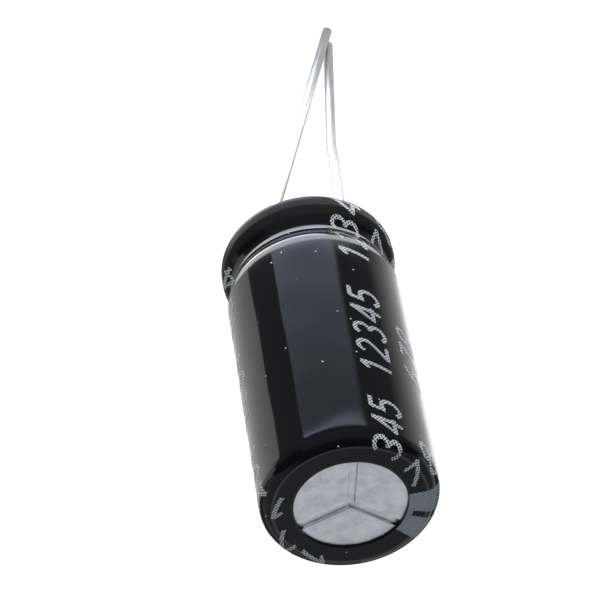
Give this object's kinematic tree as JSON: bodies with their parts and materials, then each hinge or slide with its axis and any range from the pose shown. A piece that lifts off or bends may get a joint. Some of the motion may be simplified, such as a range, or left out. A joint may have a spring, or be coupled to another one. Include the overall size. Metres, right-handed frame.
{
  "type": "electrolytic capacitor",
  "caption": "Radial aluminium electrolytic capacitor in a black shrunk sleeve, with a scored vent end, a rolled groove, a crimped rubber seal and tinned wire leads.",
  "frame": {"origin": "midway between the two leads, on the seating plane where the sleeve's lead end meets the board", "axes": "+Z runs through the can to the vented end, the leads run along -Z, and +X points from the positive lead to the negative lead"},
  "size_m": [0.0105, 0.0104, 0.0435],
  "materials": {
    "can_aluminium": "satin drawn sheet",
    "sleeve_film": "glossy shrunk film",
    "print_ink": "halftone ink under gloss",
    "seal_rubber": "matt moulded",
    "roll_paper": "wet kraft paper",
    "tape_film": "thin adhesive film",
    "tab_aluminium": "pressed",
    "lead_tin": "bright tinned wire"
  },
  "bodies": {
    "root": {"can": "can_aluminium", "sleeve": "sleeve_film", "polarity_stripe": "print_ink", "rubber_seal": "seal_rubber", "wound_element": "roll_paper", "fixing_tape": "tape_film", "anode_tab": "tab_aluminium", "cathode_tab": "tab_aluminium", "positive_lead": "lead_tin", "negative_lead": "lead_tin"}
  },
  "joints": []
}
